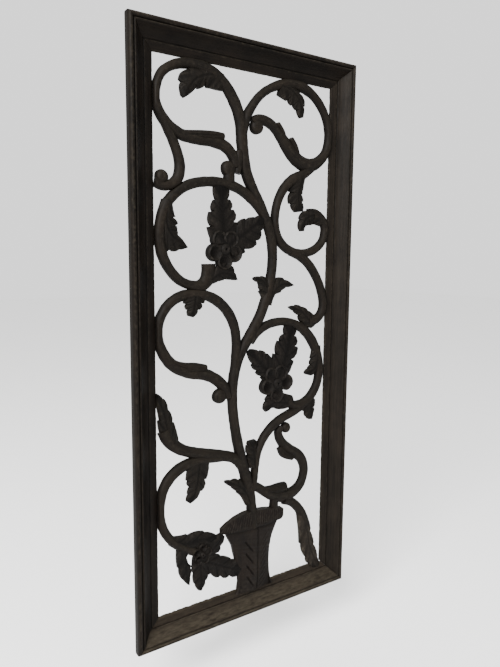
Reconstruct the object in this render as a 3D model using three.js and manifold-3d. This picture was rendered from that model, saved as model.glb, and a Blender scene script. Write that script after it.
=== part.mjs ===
// Carved wall panel: an openwork carving of scrolling vines that grow out of a basket, glued into a moulded
// frame of four mitred lengths. Millimetres, +Z up, the front faces -Y. The origin is on the back of the top
// rail, at the middle of its face, where the panel bears on the wall.
import * as THREE from "three";
import { mergeVertices } from "three/addons/utils/BufferGeometryUtils.js";
import Module from "manifold-3d";

const wasm = await Module();
wasm.setup();

// Everything is drawn as the carver sees it: x to the right, y up the panel, z out from the wall, with the
// drawing's origin in the middle of the panel and z = 0 on the wall.

// ---- Driving dimensions ----
const HEIGHT = 916;
const WIDTH = 406;
const DEPTH = 22.5; // wall to the top of the frame's bead
const MOULDING = 41; // width of the frame's moulding
const BACK_ROUND = [9, 10]; // the round under the frame's outer side: inward, outward
const BEAD_ROUND = [4, 6.5]; // the round over it, up to the bead's top
const FIT = 0.3; // room between pieces that are glued together

const BACK = 0.5; // the carving's back stands this far off the wall
const WALL = 5; // top of the carving's sawn edges
const CROWN = 11; // top of a rounded vine
const BALL = 11.5; // top of the ball that a scroll ends in
const LEAF_RIB = 11; // a leaf's midrib
const LEAF_EDGE = 5.5; // a leaf's sawn edge
const PETAL = 12;
const BUD = 13.5;
const RIM = 14; // the basket's fluted rim
const RIDGE = 13.5; // the basket's middle ridge

const FLUTES = 15; // cut down the basket's rim
const FLUTE = [2.4, 1.6]; // width and depth of one
const SLASHES = 4; // pairs of slanting cuts down the basket's body
const SLASH = [2.6, 2]; // width and depth of one

const LAP = 7; // how far the basket's foot and the lowest leaf lie over the bottom rail
const LAP_AT = 5.5; // the underside of that lap, just clear of the rail's inner flat

const OPENING_W = WIDTH - 2 * MOULDING;
const OPENING_H = HEIGHT - 2 * MOULDING;

const CARVING_STAIN = { color: 0x2f261f, roughness: 0.62, metalness: 0 };
const FRAME_STAIN = { color: 0x2a211b, roughness: 0.55, metalness: 0 };

// ---- Solids ----

// A closed three.js geometry as a manifold-3d solid.
function solid(geometry) {
  const soup = geometry.index ? geometry.toNonIndexed() : geometry;
  const bare = new THREE.BufferGeometry().setAttribute("position", soup.getAttribute("position"));
  const merged = mergeVertices(bare, 1e-4);
  const corners = merged.index.array;
  const triVerts = [];
  for (let i = 0; i < corners.length; i += 3) {
    const [a, b, c] = corners.slice(i, i + 3);
    if (a !== b && b !== c && c !== a) triVerts.push(a, b, c);
  }
  return new wasm.Manifold(
    new wasm.Mesh({
      numProp: 3,
      vertProperties: merged.getAttribute("position").array,
      triVerts: new Uint32Array(triVerts),
    }),
  );
}

// A manifold-3d solid as a three.js geometry.
function geometryOf(made) {
  const mesh = made.getMesh();
  const indexed = new THREE.BufferGeometry()
    .setAttribute("position", new THREE.BufferAttribute(new Float32Array(mesh.vertProperties), 3))
    .setIndex(new THREE.BufferAttribute(new Uint32Array(mesh.triVerts), 1));
  indexed.computeVertexNormals();
  return indexed;
}

// Closed rings of the same number of points, joined in order, with a flat cap at each end. Each ring runs
// anticlockwise seen from the far end.
function loft(rings) {
  const n = rings[0].length;
  const points = rings.flat();
  const faces = [];
  for (let i = 0; i + 1 < rings.length; i++) {
    for (let j = 0; j < n; j++) {
      const a = i * n + j;
      const b = i * n + ((j + 1) % n);
      faces.push(a, b, a + n, b, b + n, a + n);
    }
  }
  const last = (rings.length - 1) * n;
  for (let j = 1; j + 1 < n; j++) faces.push(0, j + 1, j, last, last + j, last + j + 1);
  const geometry = new THREE.BufferGeometry().setFromPoints(points);
  geometry.setIndex(faces);
  return solid(geometry);
}

// Points along a smooth line through [x, y, width] stations, closer together where it bends: each has its
// place, its direction and its width.
const BEND = THREE.MathUtils.degToRad(22);
const LONGEST_STEP = 30;
function along(stations) {
  const points = stations.map((s) => new THREE.Vector3(...s));
  const curve = new THREE.CatmullRomCurve3(points, false, "centripetal");
  const fine = 40 * (stations.length - 1);
  const found = [];
  let kept = null;
  for (let i = 0; i <= fine; i++) {
    const p = curve.getPoint(i / fine);
    const t = curve.getTangent(i / fine).setZ(0).normalize();
    const turned = kept ? Math.acos(Math.min(1, kept.t.dot(t))) : 0;
    const gone = kept ? Math.hypot(p.x - kept.p.x, p.y - kept.p.y) : 0;
    if (kept === null || turned > BEND || gone > LONGEST_STEP || i === fine) {
      kept = { p, t, width: p.z };
      found.push(kept);
    }
  }
  return found;
}

// A rounded stem: straight sawn edges up to WALL, then a dome up to the crown.
const DOME = [
  [-1, 0],
  [-0.45, 0.95],
  [0.45, 0.95],
  [1, 0],
];
function vine(stations, crown = CROWN) {
  return loft(
    along(stations).map(({ p, t, width }) => {
      const out = width / 2;
      const at = (side, z) => new THREE.Vector3(p.x + t.y * side * out, p.y - t.x * side * out, z);
      const dome = DOME.map(([side, rise]) => at(side, WALL + (crown - WALL) * rise));
      return [at(1, BACK), at(-1, BACK), ...dome];
    }),
  );
}

// A leaf on a curved midrib, which runs from its root to its tip. left and right list its teeth as
// [how far along, how far out]; behind each tooth the edge steps in and swells out again to the next.
const NOTCH = 0.24; // how deep the step behind a tooth is, as a share of its reach
const STEP_LONG = 0.02; // and how long, as a share of the leaf
function toothedEdge(teeth, u) {
  const next = teeth.findIndex(([at]) => at >= u - 1e-6);
  const [at, out] = next < 0 ? [1, 0] : teeth[next];
  const [fromAt, fromOut] = next < 0 ? teeth[teeth.length - 1] : teeth[Math.max(0, next - 1)];
  if (next === 0) return out;
  const share = (u - fromAt) / (at - fromAt);
  const step = next === 1 ? 0 : NOTCH * fromOut * (1 - share) ** 3;
  return fromOut + (out - fromOut) * share - step;
}
function leaf({ spine, left, right }) {
  const points = spine.map(([x, y]) => new THREE.Vector3(x, y, 0));
  const curve = new THREE.CatmullRomCurve3(points, false, "centripetal");
  const stops = new Set([0, 0.2, 1]);
  for (const [at] of [...left, ...right]) {
    stops.add(at);
    if (at < 1 - STEP_LONG) stops.add(at + STEP_LONG);
  }
  const rings = [...stops].sort((a, b) => a - b).map((u) => {
    const p = curve.getPoint(u);
    const t = curve.getTangent(u);
    const outLeft = Math.max(0.6, toothedEdge(left, u));
    const outRight = Math.max(0.6, toothedEdge(right, u));
    const at = (out, z) => new THREE.Vector3(p.x - t.y * out, p.y + t.x * out, z);
    return [
      at(-outRight, BACK),
      at(outLeft, BACK),
      at(outLeft, LEAF_EDGE),
      at(0, LEAF_RIB),
      at(-outRight, LEAF_EDGE),
    ];
  });
  return loft(rings);
}

// A round boss with a domed top.
function boss(x, y, radius, top, sides = 12, stretch = 1, turn = 0) {
  const dome = new THREE.EllipseCurve(0, WALL, radius, top - WALL, 0, Math.PI / 2);
  const profile = [new THREE.Vector2(0, BACK), new THREE.Vector2(radius, BACK), ...dome.getPoints(2)];
  profile[profile.length - 1].x = 0;
  const turned = new THREE.LatheGeometry(profile, sides);
  turned.rotateX(Math.PI / 2);
  turned.scale(stretch, 1, 1);
  turned.rotateZ(turn);
  turned.translate(x, y, 0);
  return solid(turned);
}

// ---- The frame: one moulding, mitred at its ends ----

// The moulding's section, as [in from the outer side, out from the wall].
function mouldingSection() {
  const back = new THREE.EllipseCurve(...BACK_ROUND, ...BACK_ROUND, -Math.PI / 2, -Math.PI, true);
  const [across, high] = BEAD_ROUND;
  const bead = new THREE.EllipseCurve(across, DEPTH - high, across, high, Math.PI, Math.PI / 2, true);
  const rounds = [...back.getPoints(3), ...bead.getPoints(4)].map((p) => [p.x, p.y]);
  const quirk = [[6.3, DEPTH - 0.6], [7.5, DEPTH - 3], [8.6, DEPTH - 3]];
  const fillet = [[9.4, DEPTH - 1.6], [11, DEPTH - 1.6]];
  const cove = [[16, 16], [21.5, 10.2], [26.5, 6.6]];
  const innerFlat = [[27, 5.4], [28.2, 5.4], [29, 5.9], [35, 4.8], [MOULDING, 3.4], [MOULDING, 0]];
  return [...rounds, ...quirk, ...fillet, ...cove, ...innerFlat];
}

// A length of the moulding along a side of the panel. It is drawn along the top edge and turned into place.
function frameLength(name, long, across, turn) {
  const outline = mouldingSection().map(([inward, z]) => new THREE.Vector2(inward, z));
  const length = new THREE.ExtrudeGeometry(new THREE.Shape(outline), { depth: 1, bevelEnabled: false });
  const at = length.getAttribute("position");
  for (let i = 0; i < at.count; i++) {
    const inward = at.getX(i);
    const end = at.getZ(i) < 0.5 ? 1 : -1;
    const half = long / 2 - inward - FIT / Math.SQRT2;
    at.setXYZ(i, end * half, across / 2 - inward, at.getY(i));
  }
  length.rotateZ(turn);
  const mesh = new THREE.Mesh(length, new THREE.MeshStandardMaterial(FRAME_STAIN));
  mesh.name = name;
  return mesh;
}

// ---- The carving ----

// A scroll ends in a ball; stations are [x, y, width] along each stem's middle.
const STEMS = [
  // the trunk, out of the basket and up the panel to the top left loop
  [[9.5, -300, 16], [8, -265, 16], [2, -238, 18], [-14, -182, 17], [-25, -130, 15.5],
   [-29.5, -88, 15.5], [-27, -52, 16], [-19, -24, 16.5], [-7, -3, 16], [8, 20, 16], [24, 46, 16],
   [40, 92, 16], [46, 130, 15], [42, 172, 16], [20, 220, 16], [5.5, 244, 16.5], [-6, 268, 17],
   [-13, 305, 17.5], [-17, 342, 17.5], [-27, 367, 17], [-44, 390, 16], [-64, 404, 16], [-86, 410, 16],
   [-108, 410.5, 14], [-130, 404.5, 12.5], [-147, 392.5, 12], [-156, 374, 12], [-158, 354, 12.5],
   [-152, 338, 14], [-138, 322, 15], [-118, 311.5, 15], [-92, 308.5, 16], [-64, 308, 17],
   [-42, 301, 16], [-30, 288, 15], [-27, 273, 14]],
  // and the webs that tie its end back to the trunk and to the ring below
  [[-21, 298, 11], [-21, 282, 14], [-24, 264, 13]],
  [[-37, 268, 16], [-37, 250, 18]],
  // down the left side to a small scroll
  [[-150, 334, 10], [-138, 314, 12], [-129, 297, 13], [-123, 281, 14], [-120.5, 266, 15],
   [-124, 250, 15], [-134, 241, 14], [-148, 238, 14], [-162, 243, 13]],
  // the ring round the upper flower
  [[36, 190, 13], [22, 211, 13], [4, 228, 14], [-20, 242, 14], [-48, 248.5, 14], [-76, 248.5, 14],
   [-104, 242.5, 14], [-126, 230, 14], [-142, 213, 15], [-151, 190, 15], [-154, 166, 15],
   [-149.5, 140, 15], [-139, 120, 14], [-122, 103, 13.5], [-102, 95, 14], [-85, 95, 18],
   [-75, 105, 21], [-73, 118, 21], [-73, 127, 22]],
  // the heart-shaped loop on the left
  [[-27, -52, 13], [-24, -25, 13.5], [-22.5, 0, 14], [-25, 24, 14], [-33, 44, 15], [-46, 61, 15],
   [-66, 75, 15], [-92, 82, 14], [-118, 80, 14], [-140, 68, 14], [-155, 46, 13.5], [-158, 22, 13.5],
   [-152, 0, 15], [-136, -22, 16.5], [-112, -35, 18], [-82, -42, 18], [-64, -50, 17], [-51, -60, 17],
   [-42, -72, 16], [-38, -84, 14]],
  // the top right loop
  [[-13, 316, 11], [-10, 337, 13], [-5, 352, 13.5], [4, 367, 12.5], [15, 381, 12], [29, 393, 12],
   [46, 402.5, 13], [64, 409, 15], [84, 412, 16], [104, 409, 15], [122, 401.5, 13], [138, 388.5, 12.5],
   [150, 372, 12], [157, 352, 12], [158, 330, 12.5], [153, 312, 14], [143, 300, 16], [128, 291, 19],
   [109, 289, 21], [92, 296, 21.5], [77, 309, 20.5], [65, 322, 18], [54, 334, 15.5], [42, 343.5, 14],
   [28, 349, 14], [14, 349, 14], [3, 344, 11]],
  // from its foot down and round the loop on the right
  [[124, 285, 13], [106, 273, 15], [86, 264, 15], [69, 250, 14], [57, 231, 13], [50.5, 208, 12.5],
   [50.5, 186, 13], [57, 168, 13.5], [71, 154, 13.5], [90, 146, 13.5], [112, 144.5, 13],
   [134, 151, 13], [149, 164, 12.5], [155, 181, 13], [152, 197, 14], [142, 205, 15], [128, 207, 15]],
  // on down the right side
  [[82, 147, 12], [104, 139, 14], [121, 127, 14], [138, 106, 14], [150, 82, 14], [155, 57, 13.5],
   [150, 40, 14], [138, 31, 15], [122, 30, 17]],
  // the ring round the lower flower
  [[4, 2, 13], [15, 15, 13], [32, 25.5, 13], [50, 30.5, 13], [70, 31.5, 13], [92, 26.5, 14],
   [112, 16.5, 15], [129, 0, 16], [141, -20, 16], [148, -43, 15.5], [149, -66, 14.5],
   [141.5, -90, 14.5], [124, -109, 15], [104, -115.5, 15], [90, -112.5, 15], [82, -103, 15]],
  // from the trunk up the right side to the lower ring
  [[7, -256, 10], [13, -234, 11], [16, -206, 12], [21, -182, 13], [33, -161, 13.5], [49, -145.5, 14],
   [66, -135.5, 14], [84, -129, 14], [103, -122, 14], [121, -112, 13]],
  // and down round the loop that sits on the basket's rim
  [[3, -236, 11], [18, -244, 14], [32, -254, 15], [47, -264, 17], [64, -270, 21], [82, -273, 21],
   [98, -269.5, 18], [111, -260, 16], [118, -246, 15], [120, -230, 15], [114, -213, 16.5],
   [103, -202, 17.5], [90, -194, 18], [80, -186, 17], [70, -175, 15], [64, -164, 14], [63, -155, 13],
   [68, -148, 11]],
  // its root on the rim
  [[56, -272, 14], [55, -292, 16]],
  // from the rim down to the bottom right corner
  [[76, -280, 15], [92, -287, 15], [107, -300, 15], [118, -317, 15.5], [126, -342, 17]],
  // from the trunk out to the left side
  [[-10, -196, 15], [-26, -186, 16], [-52, -177, 16], [-82, -169, 16], [-109, -161, 16],
   [-128, -151, 18], [-142, -137, 20], [-150, -120, 21]],
  // and round the lower left loop
  [[-5, -217, 13], [-12, -202, 14], [-22, -190, 15], [-38, -182, 14], [-60, -180, 13], [-84, -178, 14],
   [-106, -179.5, 15], [-126, -186, 16], [-142, -198, 16], [-153, -215, 15], [-158, -240, 13.5],
   [-156, -266, 13.5], [-147, -287, 13], [-135, -302, 13], [-118, -315, 14], [-102, -324, 15]],
];

// The balls: [x, y, radius].
const BALLS = [
  [-39, 270, 12],
  [-150, 250, 10],
  [12, 337.5, 11.5],
  [-54, -80, 12],
  [77.5, -151, 9],
];

// A husk wraps a stem on one side, and its blunt end stands proud of it.
const HUSK = CROWN + 1.5;
const HUSKS = [
  [[-122, 314, 7], [-104, 313.5, 11], [-84, 314.5, 13], [-64, 315, 14], [-49, 315.5, 11]],
  [[-144, -10, 7], [-130, -21, 10], [-114, -28, 14], [-96, -30.5, 15], [-79, -32, 10]],
  [[93, 304, 8], [84, 317, 10], [77, 327, 8]],
  [[67, 323, 7], [58, 337, 8], [50, 347, 7]],
  [[36, -252, 7], [50, -255, 12], [64, -256, 16], [79, -256, 15]],
  [[65, -184, 9], [75, -197, 14], [92, -206, 11]],
];

const LEAVES = [
  // top left, curling in from the rail
  { spine: [[-50, 402], [-74, 399], [-97, 389], [-115, 363]],
    left: [[0, 20.6], [0.4, 15.6], [0.66, 12.6], [1, 1.6]],
    right: [[0, 3.6], [0.35, 12.6], [0.6, 21.6], [0.8, 17.6], [1, 3.6]] },
  // top right, the same the other way
  { spine: [[56, 406], [78, 399], [93, 385], [100, 362]],
    left: [[0, 3.6], [0.5, 14.1], [0.76, 10.6], [1, 2.6]],
    right: [[0, 15.6], [0.34, 16.6], [0.6, 14.6], [0.8, 8.6], [1, 2.6]] },
  // under the top right loop
  { spine: [[104, 272], [97, 252], [94, 234], [97, 212]],
    left: [[0, 6.6], [0.5, 9.6], [0.74, 12.6], [1, 9.6]],
    right: [[0, 12.6], [0.52, 17.6], [0.76, 16.6], [1, 6.6]] },
  // the curled end of the right-hand loop
  { spine: [[150, 200], [132, 207], [113, 203], [105, 190], [106, 181]],
    left: [[0, 10.6], [0.36, 14.6], [0.56, 14.6], [0.8, 9.6], [1, 2.6]],
    right: [[0, 8.6], [0.5, 12.6], [0.74, 9.6], [1, 3.6]] },
  // the hook at the foot of the right side's upper stem
  { spine: [[134, 24], [119, 34], [104, 47], [81, 55]],
    left: [[0, 8.6], [0.36, 14.6], [0.56, 8.6], [0.8, 4.6], [1, 0.6]],
    right: [[0, 12.6], [0.36, 13.6], [0.6, 9.6], [0.8, 7.6], [1, 0.6]] },
  // in the ring on the left
  { spine: [[-141, 218], [-145, 194], [-139, 172], [-111, 151]],
    left: [[0, 6.6], [0.3, 16.6], [0.5, 18.6], [0.72, 9.6], [1, 1.6]],
    right: [[0, 8.6], [0.5, 12.6], [0.74, 21.6], [0.88, 12.6], [1, 1.6]] },
  // under the top of the heart
  { spine: [[-98, 84], [-99, 71], [-101, 58], [-104, 48]],
    left: [[0, 18.6], [0.4, 17.6], [0.66, 11.6], [1, 3.6]],
    right: [[0, 18.6], [0.5, 15.6], [0.76, 10.1], [1, 4.6]] },
  // the pair on the trunk
  { spine: [[38, 66], [34, 86], [25, 99], [9, 104]],
    left: [[0, 8.6], [0.45, 14.6], [0.8, 5.6], [1, 1.6]],
    right: [[0, 6.6], [0.5, 10.6], [0.75, 7.6], [1, 1.6]] },
  { spine: [[40, 60], [46, 80], [62, 93], [87, 92]],
    left: [[0, 6.6], [0.5, 15.6], [0.72, 9.6], [1, 1.6]],
    right: [[0, 2.6], [0.3, 6.6], [0.55, 12.1], [0.78, 6.6], [1, 1.6]] },
  // in the ring on the right
  { spine: [[144, -14], [142, -38], [135, -54], [118, -61]],
    left: [[0, 6.6], [0.6, 10.6], [0.84, 8.6], [1, 1.6]],
    right: [[0, 8.6], [0.42, 12.6], [0.64, 9.6], [0.84, 6.6], [1, 1.6]] },
  // under the lower ring
  { spine: [[131, -108], [130, -119], [130, -131], [132, -143]],
    left: [[0, 10.6], [0.4, 10.6], [0.72, 9.6], [1, 3.6]],
    right: [[0, 16.6], [0.34, 17.6], [0.58, 12.6], [0.84, 8.6], [1, 4.6]] },
  // the big leaf on the left side
  { spine: [[-136, -142], [-147, -116], [-152, -92], [-163, -64]],
    left: [[0, 12.6], [0.5, 10.6], [1, 1.6]],
    right: [[0, 10.6], [0.36, 14.6], [0.62, 10.6], [0.84, 9.6], [1, 2.6]] },
  // hanging in the lower left loop
  { spine: [[-91, -178], [-95, -203], [-99, -224], [-110, -242]],
    left: [[0, 18.6], [0.44, 18.6], [0.68, 14.6], [1, 4.6]],
    right: [[0, 16.6], [0.46, 17.6], [0.62, 12.6], [0.85, 8.6], [1, 3.6]] },
  // on the trunk above the basket
  { spine: [[4, -270], [-4, -249], [-18, -234], [-43, -223]],
    left: [[0, 6.6], [0.52, 11.6], [0.76, 7.6], [1, 1.6]],
    right: [[0, 8.6], [0.4, 11.6], [0.64, 10.6], [0.82, 5.6], [1, 1.6]] },
  // the bud between the trunk and the stem beside it
  { spine: [[12, -208], [11, -190], [9, -175], [8, -162]],
    left: [[0, 9.6], [0.5, 12.6], [0.85, 10.6], [1, 6.6]],
    right: [[0, 4.6], [0.5, 8.6], [0.85, 11.6], [1, 6.6]] },
  // down the bottom right corner
  { spine: [[116, -312], [126, -345], [132, -375], [153, -424]],
    left: [[0, 8.6], [0.34, 11.6], [0.6, 13.6], [0.85, 10.6], [1, 6.6]],
    right: [[0, 9.6], [0.48, 16.6], [0.72, 13.6], [0.84, 14.6], [1, 8.6]] },
];

// A flower of five round petals with its two big leaves and the cup that it sits in.
function flower({ x, y, radius, turn }) {
  const made = [boss(x, y, radius * 0.34, BUD, 8)];
  for (let i = 0; i < 5; i++) {
    const a = turn + (i * 2 * Math.PI) / 5;
    const far = radius * 0.6;
    made.push(boss(x + far * Math.cos(a), y + far * Math.sin(a), radius * 0.42, PETAL, 8, 1.05, a));
  }
  return made;
}
const FLOWERS = [
  { x: -46, y: 149, radius: 30, turn: 0.92 },
  { x: 56, y: -71, radius: 31, turn: 0 },
  { x: -88, y: -332, radius: 17, turn: 0.2 },
];
const FLOWER_LEAVES = [
  // upper flower: one leaf up to the ring, one out to the trunk, and the cup
  { spine: [[-47, 158], [-49, 185], [-51, 212], [-53, 244]],
    left: [[0, 18.6], [0.3, 26.6], [0.56, 21.6], [0.76, 12.6], [1, 11.6]],
    right: [[0, 20.6], [0.36, 26.6], [0.58, 21.6], [0.76, 15.6], [1, 13.6]] },
  { spine: [[-42, 154], [-24, 165], [-4, 178], [26, 199]],
    left: [[0, 14.6], [0.4, 21.6], [0.64, 18.6], [0.84, 10.6], [1, 5.6]],
    right: [[0, 20.6], [0.3, 25.6], [0.6, 26.6], [0.8, 18.6], [1, 5.6]] },
  { spine: [[-70, 104], [-60, 110], [-45, 113], [-24, 103]],
    left: [[0, 6.6], [0.6, 16.6], [0.8, 10.6], [1, 1.6]],
    right: [[0, 8.6], [0.5, 11.6], [0.8, 6.6], [1, 1.6]] },
  // lower flower, the same the other way
  { spine: [[58, -62], [68, -38], [77, -12], [84, 24]],
    left: [[0, 14.6], [0.4, 22.6], [0.68, 20.6], [0.82, 11.6], [1, 10.6]],
    right: [[0, 16.6], [0.4, 22.6], [0.64, 23.6], [0.82, 15.6], [1, 11.6]] },
  { spine: [[50, -62], [36, -48], [21, -33], [1, -13]],
    left: [[0, 14.6], [0.28, 15.6], [0.48, 15.6], [0.7, 12.6], [1, 3.6]],
    right: [[0, 18.6], [0.55, 21.6], [0.76, 16.6], [1, 4.6]] },
  { spine: [[90, -107], [70, -106], [50, -103], [33, -115]],
    left: [[0, 8.6], [0.5, 12.6], [0.78, 8.6], [1, 3.6]],
    right: [[0, 10.6], [0.5, 18.6], [0.8, 12.6], [1, 3.6]] },
  // the drooping flower at the bottom left: hood and four leaves
  { spine: [[-142, -298], [-118, -306], [-92, -307], [-62, -313]],
    left: [[0, 6.6], [0.36, 12.6], [0.72, 11.6], [1, 5.6]],
    right: [[0, 6.6], [0.5, 19.6], [0.8, 15.6], [1, 2.6]] },
  { spine: [[-84, -338], [-72, -330], [-60, -322], [-47, -312]],
    left: [[0, 10.6], [0.5, 14.6], [1, 4.6]], right: [[0, 12.6], [0.4, 17.6], [0.66, 13.6], [1, 4.6]] },
  { spine: [[-90, -342], [-66, -354], [-42, -367], [-14, -380]],
    left: [[0, 8.6], [0.4, 14.6], [0.7, 13.6], [1, 12.6]],
    right: [[0, 12.6], [0.34, 20.6], [0.58, 20.6], [0.78, 17.6], [1, 12.6]] },
  { spine: [[-92, -338], [-91, -356], [-90, -374], [-90, -393]],
    left: [[0, 10.6], [0.5, 16.6], [0.74, 12.6], [1, 3.6]],
    right: [[0, 10.6], [0.4, 12.6], [0.76, 10.6], [1, 3.6]] },
  { spine: [[-116, -314], [-117, -338], [-116, -356], [-111, -377]],
    left: [[0, 9.6], [0.26, 2.6], [0.44, 5.6], [0.55, 11.6], [0.8, 7.6], [1, 1.6]],
    right: [[0, 14.6], [0.48, 12.6], [0.8, 7.6], [1, 1.6]] },
];

// The basket: its body's section bulges to a ridge up the middle, and the rim stands proud of it.
const BASKET_X = 12.5;
const BODY = [
  // [height on the panel, out to the left, out to the right]
  [-OPENING_H / 2 - LAP, 36, 40],
  [-OPENING_H / 2, 32, 36],
  [-402, 29.5, 33],
  [-380, 31.5, 31.5],
  [-355, 38, 33],
  [-335, 43, 38],
  [-318, 52, 46],
  [-306, 57, 55],
];
const RIM_LINE = [
  // [across, top of the rim, bottom of the rim]
  [-64, -301, -309],
  [-54, -294.5, -312],
  [-38, -287, -312],
  [-20, -282.5, -311],
  [0, -281.5, -310],
  [20, -284, -311],
  [42, -288, -312],
  [58, -291, -312],
  [62, -295, -308],
];
const SIDE = WALL + 2; // the basket's thickness at its sides
const FLANK = SIDE + 4.5; // and halfway in to its ridge
const rimTop = (across) => RIM - 7 * (across / 66) ** 2;
function basket() {
  const body = loft(
    BODY.map(([y, left, right]) => {
      const at = (out, z) => new THREE.Vector3(BASKET_X + out, y, z);
      return [at(-left, BACK), at(-left, SIDE), at(-left / 2, FLANK), at(0, RIDGE), at(right / 2, FLANK),
        at(right, SIDE), at(right, BACK)];
    }),
  );
  const rim = loft(
    RIM_LINE.map(([across, top, bottom]) => {
      const z = rimTop(across);
      const at = (y, out) => new THREE.Vector3(BASKET_X + across, y, out);
      const back = [at(bottom, BACK), at(top, BACK)];
      return [...back, at(top, z - 1), at(top - 3, z), at(bottom + 2, z), at(bottom, z - 2)];
    }),
  );
  return body.add(rim);
}

// The flutes in the rim and the slanting cuts in the body are made by a V-shaped tool drawn across the
// surface, between two points [x, y, how far out its edge is].
const TOOL = 4; // the tool's height
function groove(from, to, width) {
  const side = new THREE.Vector2(to[1] - from[1], from[0] - to[0]).setLength(width / 2);
  const ring = ([x, y, bottom]) => [
    new THREE.Vector3(x, y, bottom),
    new THREE.Vector3(x - side.x, y - side.y, bottom + TOOL),
    new THREE.Vector3(x + side.x, y + side.y, bottom + TOOL),
  ];
  return loft([ring(from), ring(to)]);
}
function basketCuts() {
  const cuts = [];
  for (let i = 0; i < FLUTES; i++) {
    const across = -56 + (116 * i) / (FLUTES - 1);
    const x = BASKET_X + across;
    const bottom = rimTop(across) - FLUTE[1];
    const high = -282.5 - 11 * (across / 63) ** 2;
    cuts.push(groove([x, high, bottom], [x, -307, bottom], FLUTE[0]));
  }
  for (let i = 0; i < SLASHES; i++) {
    const y = -314 - 20 * i;
    for (const side of [-1, 1]) {
      const outer = [BASKET_X + side * 28, y, WALL + 5.4 - SLASH[1]];
      const inner = [BASKET_X + side * 2, y - 32, RIDGE - 0.2 - SLASH[1]];
      cuts.push(groove(outer, inner, SLASH[0]));
    }
  }
  return cuts;
}

function carving() {
  const pieces = [
    ...STEMS.map((stations) => vine(stations)),
    ...HUSKS.map((stations) => vine(stations, HUSK)),
    ...BALLS.map(([x, y, radius]) => boss(x, y, radius, BALL)),
    ...LEAVES.map(leaf),
    ...FLOWER_LEAVES.map(leaf),
    ...FLOWERS.flatMap(flower),
    basket(),
  ];
  const joined = pieces.reduce((sum, piece) => sum.add(piece));
  const cut = basketCuts().reduce((sum, tool) => sum.subtract(tool), joined);
  const board = new THREE.BoxGeometry(OPENING_W - 2 * FIT, OPENING_H - 2 * FIT, DEPTH);
  board.translate(0, 0, DEPTH / 2);
  const lap = new THREE.BoxGeometry(OPENING_W - 2 * FIT, 2 * LAP, DEPTH);
  lap.translate(0, -OPENING_H / 2, LAP_AT + DEPTH / 2);
  return solid(geometryOf(cut)).intersect(solid(board).add(solid(lap)));
}

const carvingMesh = new THREE.Mesh(geometryOf(carving()), new THREE.MeshStandardMaterial(CARVING_STAIN));
carvingMesh.name = "vine_carving";

// The drawing's group stands the panel up and puts the top rail's back at the origin.
const panel = new THREE.Group();
panel.add(
  carvingMesh,
  frameLength("top_rail", WIDTH, HEIGHT, 0),
  frameLength("bottom_rail", WIDTH, HEIGHT, Math.PI),
  frameLength("left_stile", HEIGHT, WIDTH, Math.PI / 2),
  frameLength("right_stile", HEIGHT, WIDTH, -Math.PI / 2),
);
panel.rotation.x = Math.PI / 2;
panel.position.z = -(HEIGHT - MOULDING) / 2;

const part = new THREE.Group();
part.add(panel);
export default part;
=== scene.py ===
import bpy
import numpy as np
from mathutils import Matrix, Vector


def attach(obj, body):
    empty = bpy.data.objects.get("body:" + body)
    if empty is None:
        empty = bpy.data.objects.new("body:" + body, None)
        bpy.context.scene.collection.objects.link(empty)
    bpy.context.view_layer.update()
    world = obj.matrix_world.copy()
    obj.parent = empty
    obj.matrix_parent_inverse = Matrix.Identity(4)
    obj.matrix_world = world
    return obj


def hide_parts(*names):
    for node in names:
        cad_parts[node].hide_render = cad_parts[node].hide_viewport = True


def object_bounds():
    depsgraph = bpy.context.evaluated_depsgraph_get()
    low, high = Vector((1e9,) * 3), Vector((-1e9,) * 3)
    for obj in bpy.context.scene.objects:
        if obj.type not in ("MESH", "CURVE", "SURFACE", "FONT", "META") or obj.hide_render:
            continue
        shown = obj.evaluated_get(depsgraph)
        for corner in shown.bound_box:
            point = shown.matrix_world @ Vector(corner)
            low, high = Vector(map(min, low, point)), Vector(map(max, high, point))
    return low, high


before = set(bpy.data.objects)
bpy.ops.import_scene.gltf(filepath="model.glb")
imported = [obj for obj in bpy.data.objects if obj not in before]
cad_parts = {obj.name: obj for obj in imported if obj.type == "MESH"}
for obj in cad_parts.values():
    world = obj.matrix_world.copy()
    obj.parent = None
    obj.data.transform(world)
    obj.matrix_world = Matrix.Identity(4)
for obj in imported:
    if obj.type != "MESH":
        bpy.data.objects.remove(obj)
cad_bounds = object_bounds()

# ---- The frame ----
# Four lengths of one hardwood moulding, mitred and glued at the corners: a round bead along the outside,
# a quirk, a thin fillet, a wide cove, a second quirk and the flat that the carving is let into. It is
# stained near-black and lacquered, rubbed through on the bead and dusty on the bottom rail. The bottom
# rail's stain is also lighter, as painted light on its upturned cove, the right stile's stain is lighter
# as painted light where it faces the lamp, and both quirks carry painted shade.
MM = 0.001
low, high = np.array(cad_bounds) / MM
HALF_WIDTH = high[0]
HALF_HEIGHT = (high[2] - low[2]) / 2
CENTRE_UP = (high[2] + low[2]) / 2
DEPTH = -low[1]
MOULDING = 41
GAP = 0.3  # between glued pieces
RING_STEP = 3.5  # along the moulding


def placed(across, up, out):
    """Metres in the frame, for millimetres across and up from the panel's centre and out from the wall."""
    return np.stack(np.broadcast_arrays(across, -np.asarray(out, float), up + CENTRE_UP), -1) * MM


def wander(along, seed, wave):
    """Smooth seeded waviness of about -1 to 1: a sum of six sines, each shorter than the last."""
    chance = np.random.default_rng(seed)
    waves = wave / (1 + 0.73 * np.arange(6))
    starts = chance.uniform(0, 2 * np.pi, 6)
    return np.sin(2 * np.pi * np.asarray(along, float)[..., None] / waves + starts).sum(-1) / 2.6


def hump(value, middle, width):
    """A bell curve: 1 at the middle, falling smoothly to nothing about twice the width away."""
    return np.exp(-(((value - middle) / width) ** 2))


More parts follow.
